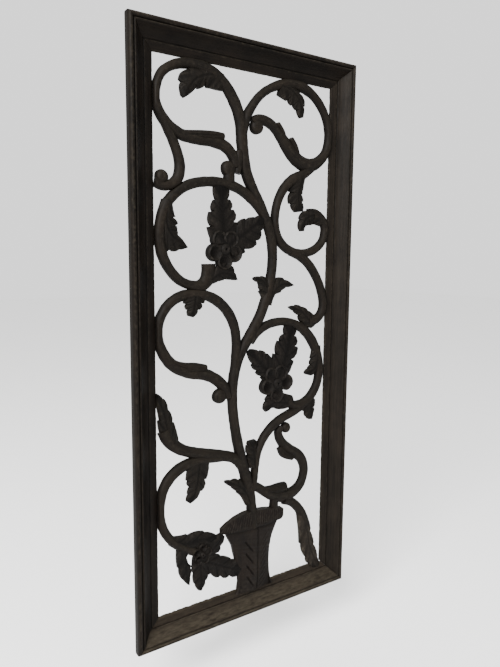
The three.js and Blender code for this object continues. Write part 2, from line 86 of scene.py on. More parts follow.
def skinned(name, skins, shade, slot_name, *nodes):
    """One mesh of closed skins. Each is a grid of rings: neighbours are joined by four-sided faces that
    wrap round, and the end rings are closed by one face each. Every point carries its grain, its crest
    and its shaded_hollow, the share of painted shade that it takes."""
    points, corners, starts, sizes, marks = [], [], [], [], {"grain": [], "crest": [], "shaded_hollow": []}
    first = corner = 0
    for skin in skins:
        rings, count = skin["at"].shape[:2]
        index = first + np.arange(rings * count).reshape(rings, count)
        onward = np.roll(index, -1, 1)
        quads = np.stack([index[:-1], onward[:-1], onward[1:], index[1:]], -1).reshape(-1)
        ends = np.concatenate([index[0, ::-1], index[-1]])
        corners += [quads, ends]
        sizes += [np.full(len(quads) // 4, 4), np.array([count, count])]
        starts += [corner + np.arange(0, len(quads), 4), corner + len(quads) + np.array([0, count])]
        corner += len(quads) + len(ends)
        points.append(skin["at"].reshape(-1, 3))
        marks["grain"].append(np.broadcast_to(skin["grain"], skin["at"].shape).reshape(-1))
        for mark in ("crest", "shaded_hollow"):
            marks[mark].append(np.broadcast_to(np.clip(skin[mark], 0, 1), (rings, count)).reshape(-1))
        first += rings * count
    points = np.concatenate(points)
    corners = np.concatenate(corners)
    starts = np.concatenate(starts)
    mesh = bpy.data.meshes.new(name)
    mesh.vertices.add(len(points))
    mesh.vertices.foreach_set("co", points.astype(np.float32).reshape(-1))
    mesh.loops.add(len(corners))
    mesh.loops.foreach_set("vertex_index", corners.astype(np.int32))
    mesh.polygons.add(len(starts))
    mesh.polygons.foreach_set("loop_start", starts.astype(np.int32))
    mesh.polygons.foreach_set("loop_total", np.concatenate(sizes).astype(np.int32))
    mesh.polygons.foreach_set("use_smooth", np.ones(len(starts), bool))
    mesh.attributes.new("grain", "FLOAT_VECTOR", "POINT")
    mesh.attributes["grain"].data.foreach_set("vector", np.concatenate(marks["grain"]).astype(np.float32))
    for mark in ("crest", "shaded_hollow"):
        mesh.attributes.new(mark, "FLOAT", "POINT")
        mesh.attributes[mark].data.foreach_set("value", np.concatenate(marks[mark]).astype(np.float32))
    mesh.update(calc_edges=True)
    mesh.validate()
    mesh.set_sharp_from_angle(angle=np.radians(48))
    mesh.materials.append(shade)
    piece = bpy.data.objects.new(name, mesh)
    bpy.context.scene.collection.objects.link(piece)
    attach(piece, "root")
    if nodes:
        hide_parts(*nodes)
    return piece


def stained_wood_group():
    """Old stained wood, from a piece's grain, crest and shaded_hollow: blotches and long streaks move the
    stain between the Dark and Warm colours, hollows and sawn sides take painted shade, pores are darkened,
    crests are rubbed pale, faces that look up hold dust."""
    group = bpy.data.node_groups.new("stained_wood", "ShaderNodeTree")
    for name in ("Dark", "Warm", "Rubbed", "Dust"):
        group.interface.new_socket(name, in_out="INPUT", socket_type="NodeSocketColor")
    for name in ("Rub", "Dusty", "Streaks"):
        group.interface.new_socket(name, in_out="INPUT", socket_type="NodeSocketFloat")
    for name, kind in (
        ("Color", "NodeSocketColor"),
        ("Roughness", "NodeSocketFloat"),
        ("Height", "NodeSocketFloat"),
    ):
        group.interface.new_socket(name, in_out="OUTPUT", socket_type=kind)
    nodes, link = group.nodes, group.links.new
    given, made = nodes.new("NodeGroupInput"), nodes.new("NodeGroupOutput")

    def attribute(name):
        node = nodes.new("ShaderNodeAttribute")
        node.attribute_name = name
        return node

    def noise(vector, stretch, detail, roughness=0.55):
        mapping, texture = nodes.new("ShaderNodeMapping"), nodes.new("ShaderNodeTexNoise")
        mapping.inputs["Scale"].default_value = stretch
        texture.inputs["Scale"].default_value = 1
        texture.inputs["Detail"].default_value = detail
        texture.inputs["Roughness"].default_value = roughness
        link(vector, mapping.inputs["Vector"])
        link(mapping.outputs["Vector"], texture.inputs["Vector"])
        return texture.outputs["Fac"]

    def band(value, lowest, highest):
        node = nodes.new("ShaderNodeMapRange")
        node.inputs["From Min"].default_value = lowest
        node.inputs["From Max"].default_value = highest
        link(value, node.inputs["Value"])
        return node.outputs["Result"]

    def maths(operation, a, b, clamp=False):
        node = nodes.new("ShaderNodeMath")
        node.operation = operation
        node.use_clamp = clamp
        for socket, value in zip(node.inputs, (a, b)):
            if isinstance(value, (int, float)):
                socket.default_value = value
            else:
                link(value, socket)
        return node.outputs["Value"]

    def mixed(share, a, b):
        node = nodes.new("ShaderNodeMix")
        node.data_type = "RGBA"
        link(share, node.inputs["Factor"])
        link(a, node.inputs["A"])
        link(b, node.inputs["B"])
        return node.outputs["Result"]

    grain = attribute("grain").outputs["Vector"]
    crest, shaded_hollow = attribute("crest").outputs["Fac"], attribute("shaded_hollow").outputs["Fac"]
    blotch = band(noise(grain, (22, 30, 30), 4), 0.38, 0.66)
    streak = noise(grain, (14, 420, 420), 5, 0.6)
    pores = band(noise(grain, (90, 2400, 2400), 3), 0.56, 0.70)
    patches = noise(grain, (150, 190, 190), 5, 0.65)

    streaked = maths("MULTIPLY", band(streak, 0.42, 0.64), given.outputs["Streaks"])
    stain = maths("ADD", maths("MULTIPLY", blotch, 0.6), maths("MULTIPLY", streaked, 0.7), clamp=True)
    colour = mixed(stain, given.outputs["Dark"], given.outputs["Warm"])
    rub = maths("MULTIPLY", maths("MULTIPLY", crest, band(patches, 0.45, 0.68)), given.outputs["Rub"])
    colour = mixed(maths("ADD", rub, 0, clamp=True), colour, given.outputs["Rubbed"])
    facing = nodes.new("ShaderNodeSeparateXYZ")
    link(nodes.new("ShaderNodeNewGeometry").outputs["Normal"], facing.inputs["Vector"])
    lying = band(facing.outputs["Z"], 0.05, 0.85)
    dust = maths("MULTIPLY", lying, band(noise(grain, (70, 260, 260), 5, 0.7), 0.30, 0.62))
    dust = maths("MULTIPLY", dust, given.outputs["Dusty"], clamp=True)
    colour = mixed(dust, colour, given.outputs["Dust"])
    # Painted shade: the shaded hollows and sawn sides, and a little the pores, are multiplied towards a very
    # dark brown.
    painted_sunk_shadow = nodes.new("ShaderNodeMix")
    painted_sunk_shadow.data_type = "RGBA"
    painted_sunk_shadow.blend_type = "MULTIPLY"
    painted_shade_and_pores = maths("ADD", maths("MULTIPLY", shaded_hollow, 0.75), maths("MULTIPLY", pores, 0.35), clamp=True)
    link(painted_shade_and_pores, painted_sunk_shadow.inputs["Factor"])
    link(colour, painted_sunk_shadow.inputs["A"])
    painted_sunk_shadow.inputs["B"].default_value = (0.22, 0.20, 0.19, 1)
    link(painted_sunk_shadow.outputs["Result"], made.inputs["Color"])

    rough = maths("ADD", 0.44, maths("MULTIPLY", patches, 0.22))
    rough = maths("ADD", rough, maths("MULTIPLY", dust, 0.3))
    link(maths("ADD", rough, maths("MULTIPLY", shaded_hollow, 0.12), clamp=True), made.inputs["Roughness"])
    relief = maths("ADD", maths("MULTIPLY", streak, 0.9), maths("MULTIPLY", pores, -0.35))
    link(maths("ADD", relief, maths("MULTIPLY", patches, 0.9)), made.inputs["Height"])
    return group


stained_wood = stained_wood_group()
SHEEN = 0.05  # the dulled lacquer's share of mirror light
BUMP_DEPTH = 0.0007


def stained(name, bump, **values):
    """A material of the stained wood, with this piece's own colours and amounts."""
    shade = bpy.data.materials.new(name)
    shade.use_nodes = True
    nodes, link = shade.node_tree.nodes, shade.node_tree.links.new
    shader = nodes["Principled BSDF"]
    shader.inputs["Specular IOR Level"].default_value = SHEEN
    wood, raised = nodes.new("ShaderNodeGroup"), nodes.new("ShaderNodeBump")
    wood.node_tree = stained_wood
    for key, value in values.items():
        wood.inputs[key].default_value = value
    raised.inputs["Strength"].default_value = bump
    raised.inputs["Distance"].default_value = BUMP_DEPTH
    link(wood.outputs["Color"], shader.inputs["Base Color"])
    link(wood.outputs["Roughness"], shader.inputs["Roughness"])
    link(wood.outputs["Height"], raised.inputs["Height"])
    link(raised.outputs["Normal"], shader.inputs["Normal"])
    return shade


def moulding_section():
    """The outline [inward, out] from the back, round the outer side and the bead, through quirk, fillet,
    cove and second quirk to the inner edge, with how far each point is a crest, and its shaded_hollow:
    how much painted shade it takes in the quirks and along the back."""
    turn = np.linspace(0, np.pi / 2, 9)
    back_round = np.stack([9 - 9 * np.sin(turn), 10 - 10 * np.cos(turn)], 1)
    bead = np.stack([4 - 4 * np.cos(turn), DEPTH - 6.5 + 6.5 * np.sin(turn)], 1)
    fall = np.stack([4 + 3.3 * np.sin(turn[2::2]), DEPTH - 2.6 + 2.6 * np.cos(turn[2::2])], 1)
    quirk = np.array([[7.5, DEPTH - 3.1], [8, DEPTH - 3.4], [8.5, DEPTH - 3.1]])
    fillet = np.array([[8.9, DEPTH - 1.9], [9.5, DEPTH - 1.5], [10.4, DEPTH - 1.5], [11.1, DEPTH - 1.9]])
    share = np.linspace(0, 1, 14)[1:]
    cove = np.stack([11.1 + 15.2 * share, DEPTH - 1.9 - 14.1 * (1 - (1 - share) ** 1.5)], 1)
    second = np.array([[26.7, 5.6], [27.3, 5.1], [28, 5.2], [28.5, 5.8]])
    flat = np.array(
        [[29.3, 6.0], [31, 5.7], [33, 5.3], [35, 4.8], [37, 4.3], [39, 3.9], [40.3, 3.5], [40.9, 3.1]]
    )
    edge = np.array([[MOULDING, 2.6], [MOULDING, 0]])
    outline = np.concatenate([back_round, bead, fall, quirk, fillet, cove, second, flat, edge])
    inward, out = outline.T
    crest = hump(inward, 4, 2.6) * (out > 12)
    crest += hump(inward, 9.9, 0.8) * (out > 12)
    crest += 0.8 * hump(inward, 29.6, 1.1)
    crest += 0.7 * hump(inward, 40.2, 0.9) * (out > 1)
    # Painted shade in both quirks and along the back edge.
    shaded_hollow = hump(inward, 8, 0.7) * (out > 12) + hump(inward, 27.5, 0.9)
    shaded_hollow += 0.5 * (out < 2)
    return inward, out, crest, shaded_hollow


def frame_length(half, across, turn, seed, ragged):
    """A length of the moulding: its outline carried from mitre to mitre, each point as far as its own
    place in the mitre. Its faces wander a little, its bead is dented and its inner edge chipped, as a hand
    plane leaves them."""
    inward, out, crest, shaded_hollow = moulding_section()
    reach = half - inward - GAP / np.sqrt(2)
    share = np.linspace(-1, 1, int(2 * half / RING_STEP))[:, None]
    along = share * reach
    dent = np.clip(wander(along[:, :1], seed, 61) * wander(along[:, :1], seed + 1, 23) - 0.62, 0, 1)
    worn = 0.9 * dent * hump(inward, 4.5, 3) * (out > 15)
    worn = worn + 0.10 * (1 + wander(along + 9 * inward, seed + 2, 140)) * (out > 3) * (inward > 5)
    chip = ragged * np.clip(wander(along[:, :1], seed + 3, 37) + 0.2, 0, 1.4) * (inward > 39)
    depth = out - np.minimum(worn, out)
    inward = inward - chip
    x, y = along, across - inward
    cos, sin = np.cos(turn), np.sin(turn)
    grain = np.stack(np.broadcast_arrays(along, inward + 90 * seed, depth), -1) * MM
    pale = crest + 2.2 * dent * (np.abs(inward - 4.5) < 3.5) + 0.5 * chip
    at = placed(x * cos - y * sin, x * sin + y * cos, depth)
    return {"at": at, "grain": grain, "crest": pale, "shaded_hollow": shaded_hollow}


frame_shade = stained(
    "frame_stain",
    bump=0.35,
    Dark=(0.002, 0.0015, 0.0011, 1),
    Warm=(0.0053, 0.0037, 0.0025, 1),
    Rubbed=(0.02, 0.016, 0.011, 1),
    Rub=0.55,
    Dust=(0.11, 0.098, 0.074, 1),
    Dusty=0.15,
    Streaks=0.55,
)
# The bottom rail: dust on its upturned cove, and a lighter copy of the frame's stain that is painted light
# where the cove faces up to the lamp.
dusty_painted_light_shade = stained(
    "dusty_painted_light_frame_stain",
    bump=0.4,
    Dark=(0.0042, 0.0031, 0.0022, 1),
    Warm=(0.011, 0.0078, 0.0052, 1),
    Rubbed=(0.034, 0.027, 0.019, 1),
    Rub=0.6,
    Dust=(0.031, 0.026, 0.018, 1),
    Dusty=0.85,
    Streaks=0.8,
)
# The right stile: a lighter copy of the frame's stain, painted light where its cove faces the lamp on the
# left.
painted_light_shade = stained(
    "painted_light_frame_stain",
    bump=0.35,
    Dark=(0.0034, 0.0026, 0.0019, 1),
    Warm=(0.0088, 0.0066, 0.0047, 1),
    Rubbed=(0.026, 0.021, 0.015, 1),
    Rub=0.7,
    Dust=(0.03, 0.025, 0.018, 1),
    Dusty=0.3,
    Streaks=0.7,
)
for node, half, across, turn, shade, ragged in (
    ("top_rail", HALF_WIDTH, HALF_HEIGHT, 0, frame_shade, 0.25),
    ("bottom_rail", HALF_WIDTH, HALF_HEIGHT, np.pi, dusty_painted_light_shade, 0.9),
    ("left_stile", HALF_HEIGHT, HALF_WIDTH, np.pi / 2, frame_shade, 0.3),
    ("right_stile", HALF_HEIGHT, HALF_WIDTH, -np.pi / 2, painted_light_shade, 0.5),
):
    length = frame_length(half, across, turn, len(node), ragged)
    skinned(node + "_moulding", [length], shade, "frame_wood", node)

# ---- The vines ----
# The trunk and the scrolling vines, carved in the one board that fills the frame: sawn through, then
# rounded over with a gouge, so each has straight sides and an uneven domed top with tool marks along it.
BACK = 0.5
WALL = 4.6  # top of the sawn sides
CROWN = 11
BOARD = np.array([HALF_WIDTH, HALF_HEIGHT]) - MOULDING - GAP
LAP = 7  # how far the basket's foot and the lowest leaf lie over the bottom rail
LAP_AT = 5.6  # the underside of what laps over the rail
STEM_STEP = 2.3  # between rings along a stem
TOOL_MARK = 0.30
FULLNESS = 1.06  # a finished stem's width against its station's


def smooth_line(stations, step):
    """A centripetal Catmull-Rom line through the stations: a cubic between neighbours whose slopes come
    from the square roots of the distances, read off again at even steps. Gives the points, directions and
    distances gone."""
    p = np.array(stations, float)
    p = np.concatenate([[2 * p[0] - p[1]], p, [2 * p[-1] - p[-2]]])
    gap = np.maximum(((p[1:] - p[:-1]) ** 2).sum(1) ** 0.25, 1e-6)[:, None]
    a, b = p[1:-2], p[2:-1]
    before, here, after = gap[:-2], gap[1:-1], gap[2:]
    slope_a = here * ((a - p[:-3]) / before - (b - p[:-3]) / (before + here) + (b - a) / here)
    slope_b = here * ((b - a) / here - (p[3:] - a) / (here + after) + (p[3:] - b) / after)
    t = np.linspace(0, 1, 30, endpoint=False)[None, :, None]
    a, b, slope_a, slope_b = (v[:, None] for v in (a, b, slope_a, slope_b))
    cubic = a + slope_a * t + (3 * (b - a) - 2 * slope_a - slope_b) * t**2
    cubic = cubic + (2 * (a - b) + slope_a + slope_b) * t**3
    fine = np.concatenate([cubic.reshape(-1, p.shape[1]), p[-2:-1]])
    gone = np.concatenate([[0], np.hypot(*np.diff(fine[:, :2], axis=0).T).cumsum()])
    even = np.linspace(0, gone[-1], max(4, int(gone[-1] / step)))
    line = np.stack([np.interp(even, gone, fine[:, i]) for i in range(p.shape[1])], 1)
    heading = np.gradient(line[:, :2], axis=0)
    return line, heading / np.hypot(*heading.T)[:, None], even


def on_board(line, heading, right, out, lap=False):
    """Rings across a line: each point lies so far to the right of the line and so far out. The board's own
    edge cuts them off, and what laps over the rail is cut away beneath."""
    x = line[:, :1] + heading[:, 1:2] * right
    y = line[:, 1:2] - heading[:, :1] * right
    out = np.broadcast_to(out, x.shape)
    x = np.clip(x, -BOARD[0], BOARD[0])
    y = np.clip(y, -BOARD[1] - LAP if lap else -BOARD[1], BOARD[1])
    if lap:
        out = np.where(y < -BOARD[1], np.maximum(out, LAP_AT), out)
    return placed(x, y, out), np.stack([y, x, out], -1) * MM


def vine(stations, seed, crown=((0, CROWN), (1, CROWN))):
    """A stem: a half-round whose height is a power of the cosine across it, on straight sides. The tool's
    flats are slow waves along it and across it."""
    line, heading, gone = smooth_line(stations, STEM_STEP)
    lean = np.linspace(-np.pi / 2, np.pi / 2, 15)
    side = np.concatenate([[1, -1], np.sin(lean)])
    dome = np.concatenate([[0, 0], np.cos(lean) ** 1.25])
    top = np.interp(gone / gone[-1], *np.array(crown).T)[:, None]
    out = WALL + (top - WALL) * dome
    out = out + TOOL_MARK * dome * wander(gone[:, None] + 5 * side, seed, 46)
    out = out + 0.12 * dome * wander(gone[:, None] * 0.3 + 40 * side, seed + 7, 34)
    out[:, :2] = BACK
    width = line[:, 2:3] * (FULLNESS + 0.025 * wander(gone[:, None], seed + 3, 57))
    at, _ = on_board(line, heading, side * width / 2, out)
    along = np.stack(np.broadcast_arrays(gone[:, None] + 61 * seed, side * width / 2, out), -1) * MM
    crest = hump(side, -0.1, 0.33) * np.ones_like(out)
    # Painted shade on the sawn sides and down the flanks of the dome.
    shaded_hollow = np.concatenate([[1, 1], np.abs(np.sin(lean)) ** 9]) * np.ones_like(out)
    return {"at": at, "grain": along, "crest": crest, "shaded_hollow": shaded_hollow}


STEMS = [
    # the trunk, out of the basket and up the panel to the top left loop
    [[9.5, -300, 16], [8, -265, 16], [2, -238, 18], [-14, -182, 17], [-25, -130, 15.5],
     [-29.5, -88, 15.5], [-27, -52, 16], [-19, -24, 16.5], [-7, -3, 16], [8, 20, 16], [24, 46, 16],
     [40, 92, 16], [46, 130, 15], [42, 172, 16], [20, 220, 16], [5.5, 244, 16.5], [-6, 268, 17],
     [-13, 305, 17.5], [-17, 342, 17.5], [-27, 367, 17], [-44, 390, 16], [-64, 404, 16], [-86, 410, 16],
     [-108, 410.5, 14], [-130, 404.5, 12.5], [-147, 392.5, 12], [-156, 374, 12], [-158, 354, 12.5],
     [-152, 338, 14], [-138, 322, 15], [-118, 311.5, 15], [-92, 308.5, 16], [-64, 308, 17],
     [-42, 301, 16], [-30, 288, 15], [-27, 273, 14]],
    # and the webs that tie its end back to the trunk and to the ring below
    [[-21, 298, 11], [-21, 282, 14], [-24, 264, 13]],
    [[-37, 268, 16], [-37, 250, 18]],
    # down the left side to a small scroll
    [[-150, 334, 10], [-138, 314, 12], [-129, 297, 13], [-123, 281, 14], [-120.5, 266, 15],
     [-124, 250, 15], [-134, 241, 14], [-148, 238, 14], [-162, 243, 13]],
    # the ring round the upper flower
    [[36, 190, 13], [22, 211, 13], [4, 228, 14], [-20, 242, 14], [-48, 248.5, 14], [-76, 248.5, 14],
     [-104, 242.5, 14], [-126, 230, 14], [-142, 213, 15], [-151, 190, 15], [-154, 166, 15],
     [-149.5, 140, 15], [-139, 120, 14], [-122, 103, 13.5], [-102, 95, 14], [-85, 95, 18],
     [-75, 105, 21], [-73, 118, 21], [-73, 127, 22]],
    # the heart-shaped loop on the left
    [[-27, -52, 13], [-24, -25, 13.5], [-22.5, 0, 14], [-25, 24, 14], [-33, 44, 15], [-46, 61, 15],
     [-66, 75, 15], [-92, 82, 14], [-118, 80, 14], [-140, 68, 14], [-155, 46, 13.5], [-158, 22, 13.5],
     [-152, 0, 15], [-136, -22, 16.5], [-112, -35, 18], [-82, -42, 18], [-64, -50, 17], [-51, -60, 17],
     [-42, -72, 16], [-38, -84, 14]],
    # the top right loop
    [[-13, 316, 11], [-10, 337, 13], [-5, 352, 13.5], [4, 367, 12.5], [15, 381, 12], [29, 393, 12],
     [46, 402.5, 13], [64, 409, 15], [84, 412, 16], [104, 409, 15], [122, 401.5, 13], [138, 388.5, 12.5],
     [150, 372, 12], [157, 352, 12], [158, 330, 12.5], [153, 312, 14], [143, 300, 16], [128, 291, 19],
     [109, 289, 21], [92, 296, 21.5], [77, 309, 20.5], [65, 322, 18], [54, 334, 15.5], [42, 343.5, 14],
     [28, 349, 14], [14, 349, 14], [3, 344, 11]],
    # from its foot down and round the loop on the right
    [[124, 285, 13], [106, 273, 15], [86, 264, 15], [69, 250, 14], [57, 231, 13], [50.5, 208, 12.5],
     [50.5, 186, 13], [57, 168, 13.5], [71, 154, 13.5], [90, 146, 13.5], [112, 144.5, 13],
     [134, 151, 13], [149, 164, 12.5], [155, 181, 13], [152, 197, 14], [142, 205, 15], [128, 207, 15]],
    # on down the right side
    [[82, 147, 12], [104, 139, 14], [121, 127, 14], [138, 106, 14], [150, 82, 14], [155, 57, 13.5],
     [150, 40, 14], [138, 31, 15], [122, 30, 17]],
    # the ring round the lower flower
    [[4, 2, 13], [15, 15, 13], [32, 25.5, 13], [50, 30.5, 13], [70, 31.5, 13], [92, 26.5, 14],
     [112, 16.5, 15], [129, 0, 16], [141, -20, 16], [148, -43, 15.5], [149, -66, 14.5],
     [141.5, -90, 14.5], [124, -109, 15], [104, -115.5, 15], [90, -112.5, 15], [82, -103, 15]],
    # from the trunk up the right side to the lower ring
    [[7, -256, 10], [13, -234, 11], [16, -206, 12], [21, -182, 13], [33, -161, 13.5], [49, -145.5, 14],
     [66, -135.5, 14], [84, -129, 14], [103, -122, 14], [121, -112, 13]],
    # and down round the loop that sits on the basket's rim
    [[3, -236, 11], [18, -244, 14], [32, -254, 15], [47, -264, 17], [64, -270, 21], [82, -273, 21],
     [98, -269.5, 18], [111, -260, 16], [118, -246, 15], [120, -230, 15], [114, -213, 16.5],
     [103, -202, 17.5], [90, -194, 18], [80, -186, 17], [70, -175, 15], [64, -164, 14], [63, -155, 13],
     [68, -148, 11]],
    # its root on the rim
    [[56, -272, 14], [55, -292, 16]],
    # from the rim down to the bottom right corner
    [[76, -280, 15], [92, -287, 15], [107, -300, 15], [118, -317, 15.5], [126, -342, 17]],
    # from the trunk out to the left side
    [[-10, -196, 15], [-26, -186, 16], [-52, -177, 16], [-82, -169, 16], [-109, -161, 16],
     [-128, -151, 18], [-142, -137, 20], [-150, -120, 21]],
    # and round the lower left loop
    [[-5, -217, 13], [-12, -202, 14], [-22, -190, 15], [-38, -182, 14], [-60, -180, 13], [-84, -178, 14],
     [-106, -179.5, 15], [-126, -186, 16], [-142, -198, 16], [-153, -215, 15], [-158, -240, 13.5],
     [-156, -266, 13.5], [-147, -287, 13], [-135, -302, 13], [-118, -315, 14], [-102, -324, 15]],
]
stems = [vine(stations, 10 + i) for i, stations in enumerate(STEMS[1:])]
trunk_crown = ((0, 15.8), (0.022, 15.4), (0.04, CROWN + 0.6), (1, CROWN))
stems.append(vine([[10, -311, 15], *STEMS[0]], 3, trunk_crown))

# A scroll ends in a ball, a flattened dome, darkened with painted shade round its edge where the vine curls
# in to it.
BALLS = [
    [-39, 270, 12],
    [-150, 250, 10],
    [12, 337.5, 11.5],
    [-54, -80, 12],
    [77.5, -151, 9],
]
BALL = 11.6


def ball(x, y, radius, seed):
    """A flattened dome of revolution: its height falls with the fourth power of the distance from its
    middle."""
    share = np.array([1, 1, 0.985, 0.95, 0.88, 0.78, 0.64, 0.48, 0.32, 0.16, 0.01])[:, None]
    around = np.linspace(0, 2 * np.pi, 40, endpoint=False)
    out = WALL + (BALL - WALL) * (1 - share**3.2) ** 0.62
    out = out + 0.25 * wander(around * 6, seed, 19) * share * (1 - share)
    out[0] = BACK
    reach = radius * share * (1 + 0.02 * np.sin(3 * around + seed))
    across, up = reach * np.cos(around), reach * np.sin(around)
    at = placed(np.clip(x + across, -BOARD[0], BOARD[0]), y + up, out)
    grain = np.stack(np.broadcast_arrays(up + 17 * seed, across, out), -1) * MM
    # Painted shade on the sawn side and round the foot of the dome.
    shaded_hollow = np.clip((share - 0.86) / 0.1, 0, 1) + 0 * around
    return {"at": at, "grain": grain, "crest": (1 - share) ** 0.5 + 0 * around, "shaded_hollow": shaded_hollow}


balls = [ball(x, y, radius, 70 + i) for i, (x, y, radius) in enumerate(BALLS)]
vine_shade = stained(
    "vine_stain",
    bump=0.35,
    Dark=(0.003, 0.0024, 0.0019, 1),
    Warm=(0.0072, 0.0052, 0.0036, 1),
    Rubbed=(0.02, 0.017, 0.012, 1),
    Rub=0.40,
    Dust=(0.018, 0.016, 0.012, 1),
    Dusty=0.30,
    Streaks=0.60,
)
skinned("vines", stems + balls, vine_shade, "carved_wood", "vine_carving")

# ---- The husks ----
# Where a vine branches, a husk wraps one side of it: a swelling half-sheath in the same wood, cut off
# blunt, with fine flutes along it and a pale end where the gouge left bare, worn grain.
HUSKS = [
    [[-122, 314, 7], [-104, 313.5, 11], [-84, 314.5, 13], [-64, 315, 14], [-49, 315.5, 11]],
    [[-144, -10, 7], [-130, -21, 10], [-114, -28, 14], [-96, -30.5, 15], [-79, -32, 10]],
    [[93, 304, 8], [84, 317, 10], [77, 327, 8]],
    [[67, 323, 7], [58, 337, 8], [50, 347, 7]],
    [[36, -252, 7], [50, -255, 12], [64, -256, 16], [79, -256, 15]],
    [[65, -184, 9], [75, -197, 14], [92, -206, 11]],
]
HUSK = CROWN + 1.4
HUSK_ROOT = CROWN - 2.2
HUSK_STEP = 1.1


def husk(stations, seed):
    """A sheath: a low dome with cosine flutes along it, higher and blunter as it goes."""
    line, heading, gone = smooth_line(stations, HUSK_STEP)
    share = (gone / gone[-1])[:, None]
    lean = np.linspace(-np.pi / 2, np.pi / 2, 27)
    side = np.concatenate([[1, -1], np.sin(lean)])
    dome = np.concatenate([[0, 0], np.cos(lean) ** 0.8])
    top = HUSK_ROOT + (HUSK - HUSK_ROOT) * np.clip(share * 2.2, 0, 1) ** 0.7
    flute = 0.32 * np.cos(2 * np.pi * 3.5 * side + 0.6 * np.sin(5 * share)) * dome * np.clip(share * 3, 0, 1)
    blunt = 0.9 * np.clip((share - 0.93) / 0.07, 0, 1) ** 2
    out = WALL + (top - WALL) * dome + flute - blunt * dome
    out[:, :2] = BACK
    at, _ = on_board(line, heading, side * line[:, 2:3] / 2, out)
    grain = np.stack(np.broadcast_arrays(gone[:, None] + 43 * seed, side * line[:, 2:3] / 2, out), -1) * MM
    crest = 0.5 * dome + 2.5 * np.clip((share - 0.9) / 0.1, 0, 1) + 0 * out
    # Painted shade in the flutes and on the sawn sides.
    shaded_hollow = np.clip(-3 * flute, 0, 1) + np.concatenate([[1, 1], np.abs(np.sin(lean)) ** 6]) * (share < 0.97)
    return {"at": at, "grain": grain, "crest": crest, "shaded_hollow": shaded_hollow}


husks = [husk(stations, i) for i, stations in enumerate(HUSKS)]
skinned("husks", husks, vine_shade, "carved_wood", "vine_carving")

# ---- The leaves ----
# Toothed leaves of the same board, curling off the vines. Each lobe is hollowed with a gouge from the
# midrib out to its tooth, which leaves sharp valleys behind the teeth and fine flutes between. Valleys,
# flutes, the midrib's trough and the sawn sides carry painted shade.
RIB = 11
EDGE = 6
SPREAD = 0.6  # how far the foot of a leaf stands out past its drawn edge
NOTCH = 0.26  # the step behind a tooth, as a share of its reach
LOBE = 1.5  # how deep the gouge goes between the teeth
LEAN = 0.24  # how far down the leaf a valley starts at the midrib, before the tooth that it runs to


def toothed(teeth, share):
    """The edge's distance from the midrib: straight from tooth to tooth, swollen a little between them,
    and stepped in behind each one by a cubic that dies away before the next."""
    at, reach = np.array(teeth).T
    reach = reach + SPREAD
    index = np.clip(np.searchsorted(at, share, side="left"), 1, len(at) - 1)
    part = (share - at[index - 1]) / (at[index] - at[index - 1])
    out = reach[index - 1] + (reach[index] - reach[index - 1]) * part
    step = NOTCH * (1 - part) ** 3 * (index > 1) * (part > 0.004)
    return np.maximum(0.7, out + reach[index - 1] * (0.05 * np.sin(np.pi * part) - step))


def leaf(spine, left, right, seed, rib=RIB, edge=EDGE, trough=1.4, broad=0.11, lap=False):
    """A leaf: rings across its midrib from root to tip. Its height falls from rib to edge by a power of
    the distance out. Valleys run from the midrib to the teeth along slanting lines, lobes swell between
    them as the root of a sine, fine flutes are cosines between, and a trough of Gaussian section follows
    the midrib."""
    teeth = np.concatenate([[at for at, _ in left], [at for at, _ in right]])
    share = np.unique(np.round(np.concatenate([np.linspace(0, 1, 88), teeth, teeth + 0.006]), 4))
    share = share[share <= 1]
    line, heading, gone = smooth_line([[x, y] for x, y in spine], 0.6)
    along = share * gone[-1]
    line = np.stack([np.interp(along, gone, line[:, i]) for i in (0, 1)], 1)
    heading = np.stack([np.interp(along, gone, heading[:, i]) for i in (0, 1)], 1)
    across = np.linspace(-1, 1, 37)
    across = np.sign(across) * np.abs(across) ** 0.9
    side = np.concatenate([[1, -1], across])
    reach = np.where(side > 0, toothed(right, share)[:, None], toothed(left, share)[:, None])
    away = np.abs(side)
    valley = np.clip(share[:, None] + LEAN * (1 - away), 0, 1)
    phase = np.where(
        side > 0,
        np.interp(valley, [at for at, _ in right], np.arange(len(right))),
        np.interp(valley, [at for at, _ in left], np.arange(len(left))),
    )
    swell = np.abs(np.sin(np.pi * phase)) ** 0.55
    flutes = np.cos(2 * np.pi * 3 * phase + 0.4 * seed)
    depth = LOBE * np.clip(reach / 14, 0.25, 1) * away**0.8
    out = edge + (rib - edge) * (1 - away**1.35) + depth * (swell - 0.75) + 0.26 * flutes * depth
    channel = hump(side * reach, 0, broad * 18)
    faded = np.clip(share[:, None] * 8, 0, 1) * np.clip(9 - 9 * share[:, None], 0.2, 1)
    out = out - trough * channel * faded
    out = out - 1.1 * share[:, None] ** 3 * (1 - away)
    out = out + 0.18 * wander(along[:, None] + 8 * side, seed + 20, 31) - 0.5 * away**12
    out[:, :2] = BACK
    at, grain = on_board(line, heading, side * reach, out, lap)
    ridge = np.clip(swell * away - 0.35, 0, 1)
    ridge = ridge + 0.5 * hump(side * reach, 0, broad * 34) * (1 - channel)
    # Painted shade in the valleys behind the teeth, in the midrib's trough, in the flutes and on the sawn
    # sides.
    painted_sunk_shadow = (1 - swell) ** 1.6 * np.clip(2.5 * away, 0, 1) + 0.7 * channel * min(1, trough)
    painted_sunk_shadow = painted_sunk_shadow + 0.25 * np.clip(-flutes, 0, 1)
    painted_sunk_shadow[:, :2] = 1
    return {"at": at, "grain": grain + 0.31 * seed, "crest": ridge, "shaded_hollow": painted_sunk_shadow}


